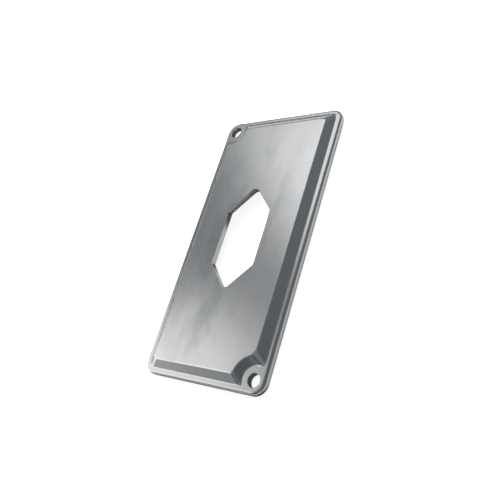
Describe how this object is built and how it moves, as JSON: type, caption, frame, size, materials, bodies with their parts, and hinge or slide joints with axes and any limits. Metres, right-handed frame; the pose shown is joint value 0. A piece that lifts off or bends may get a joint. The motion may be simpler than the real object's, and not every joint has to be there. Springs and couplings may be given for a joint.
{
  "type": "conduit body cover",
  "caption": "Rectangular cast metal cover for a conduit body: a raised panel with sloped walls, notched at two corners for screw holes, and a six-sided opening in its middle.",
  "frame": {"origin": "centre of the flat back face", "axes": "+X across the short side, +Y along the long side, +Z out of the raised front; the part lies on its back"},
  "size_m": [0.05, 0.099, 0.0042],
  "materials": {
    "cast_metal": "die-cast aluminium, lightly linished: satin, with faint streaks and cloudy patches"
  },
  "bodies": {
    "root": {"cover_plate": "cast_metal"}
  },
  "joints": []
}
